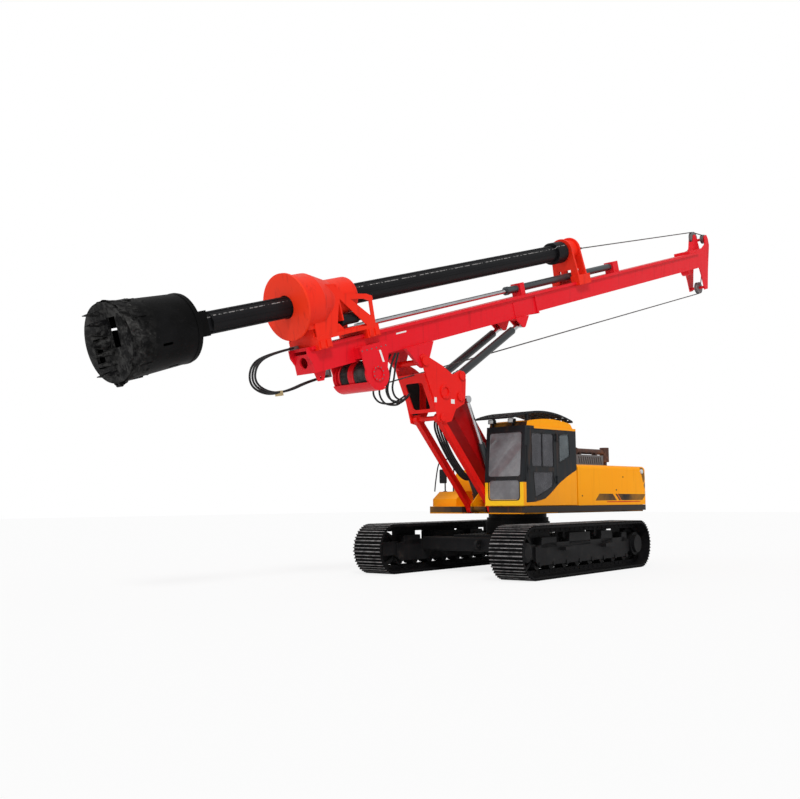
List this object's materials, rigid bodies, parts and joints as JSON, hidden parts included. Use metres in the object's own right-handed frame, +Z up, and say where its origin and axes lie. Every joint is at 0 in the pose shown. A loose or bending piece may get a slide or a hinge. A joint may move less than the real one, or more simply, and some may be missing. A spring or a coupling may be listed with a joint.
{
  "type": "rotary piling rig",
  "caption": "Crawler rotary piling rig: a mast with rotary drive, drill rod and drilling bucket lies lowered over the cab, and a boom linkage with cylinders raises it upright.",
  "frame": {"origin": "On the ground under the axis of the slewing bearing.", "axes": "+X forward along the upper structure to the drilling tool, +Y to the side with the cab, +Z up."},
  "size_m": [19.8738, 4.7598, 9.4243],
  "materials": {
    "body_yellow": "worn gloss paint",
    "linkage_red": "worn satin paint",
    "frame_black": "dusty satin paint",
    "track_steel": "worn, dusty",
    "bare_steel": "greased",
    "rod_chrome": "polished",
    "cab_trim": "matt",
    "hose_rubber": "matt"
  },
  "bodies": {
    "undercarriage": {"track_left": "track_steel", "track_right": "track_steel", "idler_wheels": "frame_black", "drive_sprockets": "frame_black", "track_frame_left": "frame_black", "track_frame_right": "frame_black", "bottom_rollers": "frame_black", "carrier_rollers": "frame_black", "car_body": "frame_black", "slew_bearing_lower": "bare_steel"},
    "upper": {"slew_bearing_upper": "bare_steel", "deck_frame": "body_yellow", "deck_skirts": "frame_black", "counterweight": "body_yellow", "left_body": "body_yellow", "right_body": "body_yellow", "engine_hood": "body_yellow", "engine_block": "frame_black", "hood_louvre_box": "frame_black", "storage_box": "body_yellow", "fuel_tank": "body_yellow", "cab_shell": "body_yellow", "cab_mounts": "hose_rubber", "roof_guard": "frame_black", "cab_roof": "frame_black", "cab_interior": "cab_trim", "exhaust_pipe": "bare_steel", "work_lights": "frame_black", "mirror_stay": "frame_black"},
    "door": {"cab_door": "body_yellow"},
    "boom": {"boom": "linkage_red"},
    "support_rods": {"support_rods": "linkage_red"},
    "luff_barrels": {"boom_cylinder_barrels": "frame_black"},
    "luff_rods": {"boom_cylinder_rods": "rod_chrome"},
    "triangle": {"triangle_frame": "linkage_red"},
    "lift_barrels": {"mast_cylinder_barrels": "frame_black"},
    "lift_rods": {"mast_cylinder_rods": "rod_chrome"},
    "mast": {"mast_lower": "linkage_red", "mast_upper": "linkage_red", "mast_head": "linkage_red", "winch_frame": "linkage_red", "crowd_barrel": "frame_black", "crowd_mounts": "linkage_red", "hose_blocks": "bare_steel", "hose_front_1": "hose_rubber", "hose_front_2": "hose_rubber", "hose_front_3": "hose_rubber"},
    "winch_drum": {"winch_drum": "frame_black"},
    "pulley_front": {"head_pulley_front": "bare_steel"},
    "pulley_rear": {"head_pulley_rear": "bare_steel"},
    "pulley_lower": {"head_pulley_lower": "bare_steel"},
    "drive": {"drive_carriage": "linkage_red", "rotary_casing": "linkage_red", "spoil_disc": "linkage_red", "drive_motors": "frame_black", "crowd_rod": "rod_chrome"},
    "guide": {"rod_guide": "linkage_red"},
    "drill": {"drill_rod": "frame_black", "drill_bucket": "frame_black"},
    "bottom": {"bucket_bottom": "frame_black"}
  },
  "joints": [
    {"name": "upper_slew", "type": "hinge", "parent": "undercarriage", "child": "upper", "pos_m": [0, 0, 1.15], "axis": [0, 0, 1], "continuous": true},
    {"name": "cab_door_swing", "type": "hinge", "parent": "upper", "child": "door", "pos_m": [0.43, 1.422, 2.2], "axis": [0, 0, 1], "range_deg": [0, 150]},
    {"name": "boom_luff", "type": "hinge", "parent": "upper", "child": "boom", "pos_m": [0.71, 0, 1.83], "axis": [0, -1, 0], "range_deg": [-18, 22]},
    {"name": "frame_level", "type": "hinge", "parent": "boom", "child": "triangle", "pos_m": [2.38, 0, 3.69], "axis": [0, -1, 0], "range_deg": [-22, 18]},
    {"name": "support_rod_swing", "type": "hinge", "parent": "upper", "child": "support_rods", "pos_m": [1.27, 0, 1.36], "axis": [0, -1, 0], "range_deg": [-18, 22]},
    {"name": "boom_cylinder_swing", "type": "hinge", "parent": "upper", "child": "luff_barrels", "pos_m": [1.03, 0, 1.58], "axis": [0, -1, 0], "range_deg": [-18, 22]},
    {"name": "boom_cylinder_slide", "type": "slide", "parent": "luff_barrels", "child": "luff_rods", "axis": [0.4403, 0, 0.8979], "range_m": [-0.13, 0.15]},
    {"name": "mast_tilt", "type": "hinge", "parent": "triangle", "child": "mast", "pos_m": [3.45, 0, 4.33], "axis": [0, 1, 0], "range_deg": [0, 76.5]},
    {"name": "mast_cylinder_swing", "type": "hinge", "parent": "triangle", "child": "lift_barrels", "pos_m": [2.32, 0, 4.13], "axis": [0, 1, 0], "range_deg": [0, 81]},
    {"name": "mast_cylinder_slide", "type": "slide", "parent": "lift_barrels", "child": "lift_rods", "axis": [-0.8444, 0, 0.5357], "range_m": [0, 1.42]},
    {"name": "crowd", "type": "slide", "parent": "mast", "child": "drive", "axis": [-0.9588, 0, 0.284], "range_m": [0, 4.2]},
    {"name": "rod_hoist", "type": "slide", "parent": "drive", "child": "guide", "axis": [-0.9588, 0, 0.284], "range_m": [0, 1.4]},
    {"name": "rod_spin", "type": "hinge", "parent": "guide", "child": "drill", "pos_m": [3.90727, 0, 5.8737], "axis": [-0.9588, 0, 0.284], "continuous": true},
    {"name": "bucket_bottom_swing", "type": "hinge", "parent": "drill", "child": "bottom", "pos_m": [10.00781, 0, 3.36265], "axis": [0, 1, 0], "range_deg": [0, 90]},
    {"name": "winch_spin", "type": "hinge", "parent": "mast", "child": "winch_drum", "pos_m": [4.85023, 0, 3.95174], "axis": [0, 1, 0], "continuous": true},
    {"name": "head_pulley_front_spin", "type": "hinge", "parent": "mast", "child": "pulley_front", "pos_m": [-8.75694, 0, 9.24433], "axis": [0, 1, 0], "continuous": true},
    {"name": "head_pulley_rear_spin", "type": "hinge", "parent": "mast", "child": "pulley_rear", "pos_m": [-9.10992, 0.145, 9.24981], "axis": [0, 1, 0], "continuous": true},
    {"name": "head_pulley_lower_spin", "type": "hinge", "parent": "mast", "child": "pulley_lower", "pos_m": [-8.97451, 0, 7.77043], "axis": [0, 1, 0], "continuous": true}
  ],
  "couplings": [
    {"joint": "frame_level", "follows": "boom_luff", "ratio": -1},
    {"joint": "support_rod_swing", "follows": "boom_luff", "ratio": 1},
    {"joint": "boom_cylinder_swing", "follows": "boom_luff", "ratio": 0.96},
    {"joint": "boom_cylinder_slide", "follows": "boom_luff", "m_per_rad": 0.3725},
    {"joint": "mast_cylinder_swing", "follows": "mast_tilt", "ratio": 1.043},
    {"joint": "mast_cylinder_slide", "follows": "mast_tilt", "m_per_rad": 1.0551}
  ]
}
